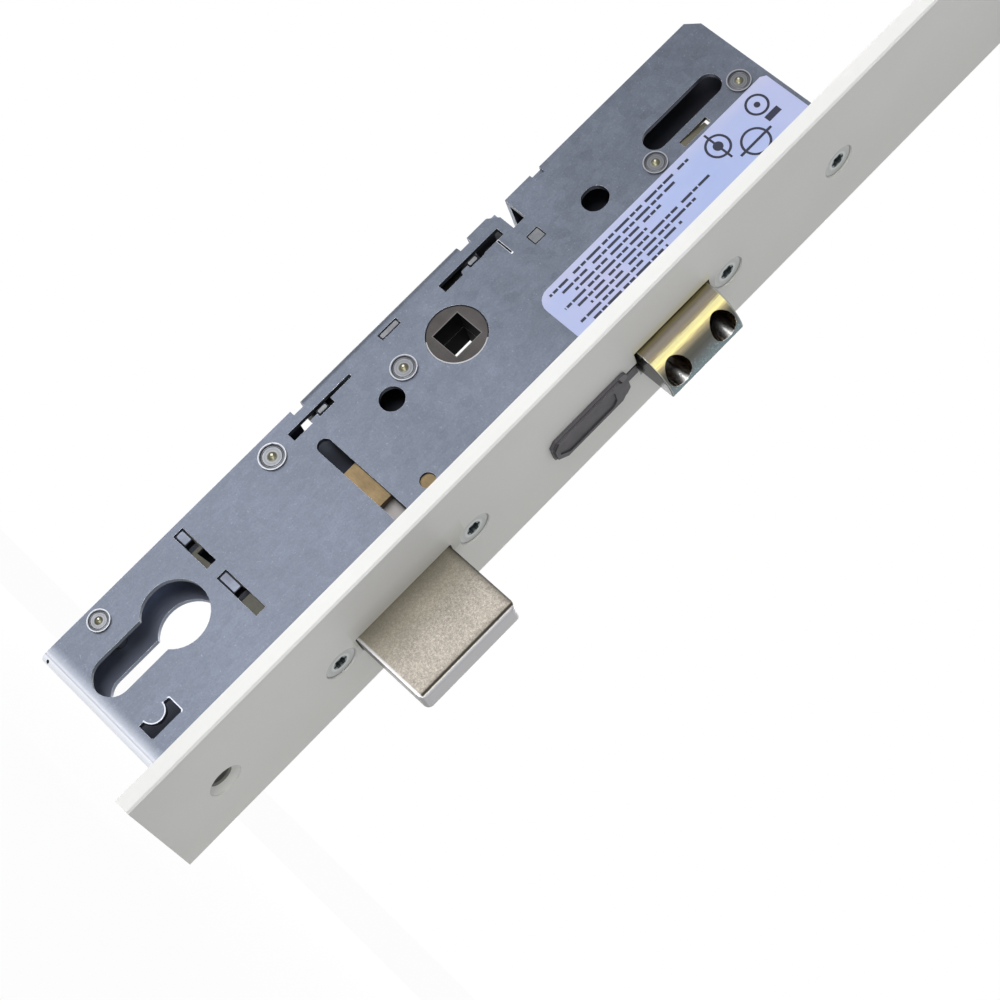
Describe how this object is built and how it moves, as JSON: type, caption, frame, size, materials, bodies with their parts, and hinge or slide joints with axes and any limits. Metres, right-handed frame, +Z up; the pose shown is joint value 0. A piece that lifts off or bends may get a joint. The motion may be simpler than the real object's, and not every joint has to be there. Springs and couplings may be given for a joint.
{
  "type": "multipoint door lock",
  "caption": "Centre section of a multipoint door lock: flat case with reversible latch, deadbolt, cylinder hole, split follower and drive slide behind a wide flat faceplate",
  "frame": {"origin": "axis of the cylinder hole, in the middle of the case's thickness", "axes": "+X out of the door's edge through the faceplate's front, +Z up along the faceplate, Y across the case along the cylinder and spindle"},
  "size_m": [0.0742, 0.044, 0.288],
  "materials": {
    "galvanised_sheet": "galvanised sheet steel, bluish grey with fine spangle",
    "painted_strip": "pale grey satin coating",
    "zinc_steel": "bright zinc plated steel",
    "label_film": "pale lavender adhesive film",
    "sintered_steel": "dark sintered steel",
    "satin_nickel": "grained satin nickel",
    "brass_part": "plain brass",
    "polished_nickel": "polished nickel with a yellow tone",
    "dark_slider": "dark grey die-cast metal"
  },
  "bodies": {
    "case": {"case_cover": "galvanised_sheet", "case_base": "galvanised_sheet", "case_rivets": "zinc_steel", "faceplate": "painted_strip", "faceplate_screws": "zinc_steel", "screw_blocks": "brass_part", "info_label": "label_film", "latch_stop_bracket": "zinc_steel", "rack_guide": "zinc_steel", "lever_pivot": "zinc_steel", "latch_spring_post": "zinc_steel", "latch_spring": "zinc_steel", "tumbler_spring_post": "zinc_steel", "tumbler_spring": "zinc_steel"},
    "drive_follower": {"drive_follower": "sintered_steel"},
    "latch_follower": {"latch_follower": "sintered_steel"},
    "drive": {"drive_slide": "zinc_steel", "upper_drive_bar": "zinc_steel", "lower_drive_bar": "zinc_steel", "bar_pins": "zinc_steel"},
    "deadbolt_lever": {"deadbolt_lever": "brass_part"},
    "deadbolt": {"deadbolt": "satin_nickel"},
    "latch": {"latch_head": "polished_nickel", "latch_carrier": "zinc_steel", "latch_screws": "sintered_steel"},
    "tumbler": {"tumbler_slide": "zinc_steel"},
    "snib": {"snib_slider": "dark_slider", "snib_keeper": "zinc_steel"}
  },
  "joints": [
    {"name": "drive_follower_turn", "type": "hinge", "parent": "case", "child": "drive_follower", "pos_m": [0, 0, 0.092], "axis": [0, -1, 0], "range_deg": [-40, 40]},
    {"name": "drive_slide_travel", "type": "slide", "parent": "case", "child": "drive", "axis": [0, 0, 1], "range_m": [-0.00767, 0.00767]},
    {"name": "latch_follower_turn", "type": "hinge", "parent": "case", "child": "latch_follower", "pos_m": [0, 0, 0.092], "axis": [0, -1, 0], "range_deg": [0, 40]},
    {"name": "latch_travel", "type": "slide", "parent": "case", "child": "latch", "axis": [-1, 0, 0], "range_m": [0, 0.0102], "stiffness_N_per_m": 150, "springref_m": -0.01, "deforming": ["latch_spring"]},
    {"name": "deadbolt_lever_turn", "type": "hinge", "parent": "case", "child": "deadbolt_lever", "pos_m": [0.0081, 0, 0.062], "axis": [0, 1, 0], "range_deg": [0, 60]},
    {"name": "deadbolt_travel", "type": "slide", "parent": "case", "child": "deadbolt", "axis": [-1, 0, 0], "range_m": [0, 0.0218]},
    {"name": "tumbler_travel", "type": "slide", "parent": "case", "child": "tumbler", "axis": [1, 0, 0], "range_m": [0, 0.0075], "stiffness_N_per_m": 100, "springref_m": -0.005, "deforming": ["tumbler_spring"]},
    {"name": "snib_travel", "type": "slide", "parent": "case", "child": "snib", "axis": [0, 0, -1], "range_m": [0, 0.004]}
  ],
  "couplings": [
    {"joint": "drive_follower_turn", "follows": "drive_slide_travel", "rad_per_m": -90.909},
    {"joint": "latch_follower_turn", "follows": "latch_travel", "rad_per_m": 68.427},
    {"joint": "deadbolt_lever_turn", "follows": "deadbolt_travel", "rad_per_m": 48.029}
  ]
}
